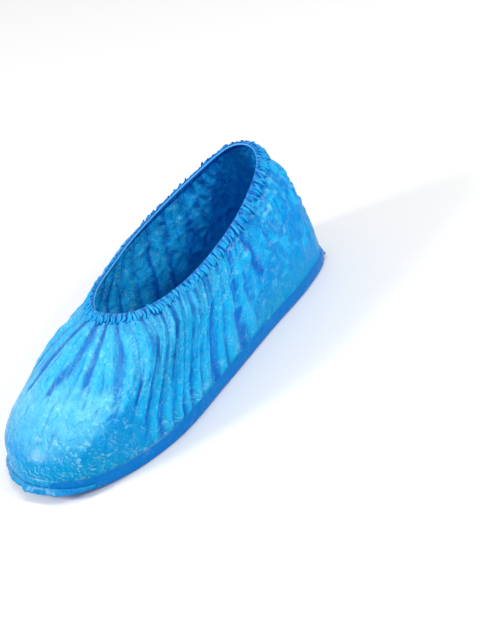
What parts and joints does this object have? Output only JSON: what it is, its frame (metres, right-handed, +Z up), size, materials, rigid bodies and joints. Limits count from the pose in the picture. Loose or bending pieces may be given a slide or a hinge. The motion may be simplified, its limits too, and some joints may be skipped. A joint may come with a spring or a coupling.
{
  "type": "disposable shoe cover",
  "caption": "Disposable shoe cover of thin gathered blue film, open at the top, with an elastic hem and welded end seams, in the form worn over a low shoe.",
  "frame": {"origin": "on the inner face of the film under the foot, at the middle of the shoe's sole, where the shoe stands in the cover", "axes": "+Y from the toe to the heel, +X to the outer side of a left shoe, +Z up through the opening"},
  "size_m": [0.1057, 0.3028, 0.0989],
  "materials": {
    "film": "thin crinkled film, slightly see-through",
    "hem_film": "pleated film in several layers",
    "elastic": "satin",
    "weld": "welded film edge"
  },
  "bodies": {
    "root": {"film_body": "film", "hem_casing": "hem_film", "elastic_cord": "elastic", "toe_seam": "weld", "heel_seam": "weld"}
  },
  "joints": []
}
